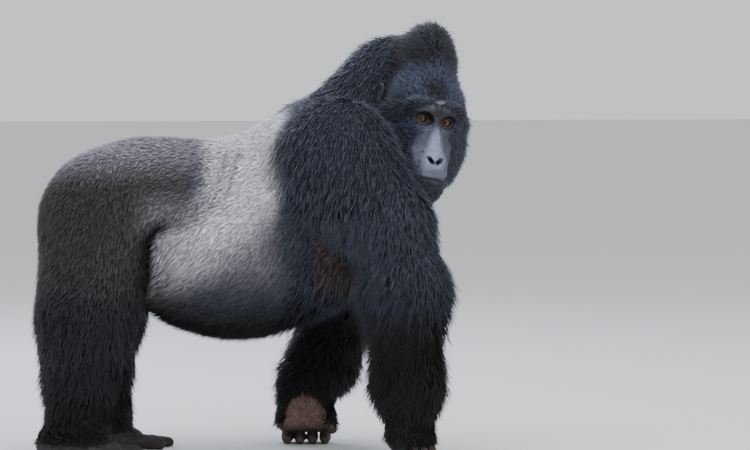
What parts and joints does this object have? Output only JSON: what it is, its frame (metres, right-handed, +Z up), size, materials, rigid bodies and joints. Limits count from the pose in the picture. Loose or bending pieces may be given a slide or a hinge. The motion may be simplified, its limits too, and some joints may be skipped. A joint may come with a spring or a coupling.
{
  "type": "mountain gorilla",
  "caption": "Silverback mountain gorilla standing on its knuckles and feet, its head turned over the right shoulder.",
  "frame": {"origin": "on the floor under the middle of the animal's box", "axes": "+X forwards from rump to chest, +Y to the animal's left, +Z up"},
  "size_m": [1.1234, 0.7446, 1.0946],
  "materials": {
    "black_coat": "long shaggy blue-black hair over near-black skin",
    "silver_coat": "short dense silver-grey saddle hair shading to black under the belly",
    "grey_brown_coat": "short dark grey-brown hair flecked with grey",
    "face_skin": "bare slate-grey skin, folded, with a soft sheen on the nose",
    "palm_skin": "bare creased dark brown skin",
    "foot_skin": "bare cracked near-black skin",
    "nail": "horn, smooth grey-black with a dull shine",
    "eye": "wet amber-brown eye with a dark rim"
  },
  "bodies": {
    "root": {"upper_arm_left": "black_coat", "forearm_left": "black_coat", "thigh_left": "grey_brown_coat", "lower_leg_left": "black_coat", "upper_arm_right": "black_coat", "forearm_right": "black_coat", "thigh_right": "grey_brown_coat", "lower_leg_right": "black_coat", "neck": "black_coat", "chest": "black_coat", "belly": "silver_coat", "rump": "grey_brown_coat", "eye_left": "eye", "ear_left": "face_skin", "eye_right": "eye", "ear_right": "face_skin", "face": "face_skin", "crown": "black_coat", "lower_jaw": "face_skin", "palm_left": "palm_skin", "index_finger_left": "palm_skin", "middle_finger_left": "palm_skin", "ring_finger_left": "palm_skin", "little_finger_left": "palm_skin", "thumb_left": "palm_skin", "thumbnail_left": "nail", "foot_left": "foot_skin", "second_toe_left": "foot_skin", "second_toe_nail_left": "nail", "third_toe_left": "foot_skin", "third_toe_nail_left": "nail", "fourth_toe_left": "foot_skin", "fourth_toe_nail_left": "nail", "fifth_toe_left": "foot_skin", "fifth_toe_nail_left": "nail", "great_toe_left": "foot_skin", "great_toe_nail_left": "nail", "palm_right": "palm_skin", "index_finger_right": "palm_skin", "middle_finger_right": "palm_skin", "ring_finger_right": "palm_skin", "little_finger_right": "palm_skin", "thumb_right": "palm_skin", "thumbnail_right": "nail", "foot_right": "foot_skin", "second_toe_right": "foot_skin", "second_toe_nail_right": "nail", "third_toe_right": "foot_skin", "third_toe_nail_right": "nail", "fourth_toe_right": "foot_skin", "fourth_toe_nail_right": "nail", "fifth_toe_right": "foot_skin", "fifth_toe_nail_right": "nail", "great_toe_right": "foot_skin", "great_toe_nail_right": "nail"}
  },
  "joints": []
}
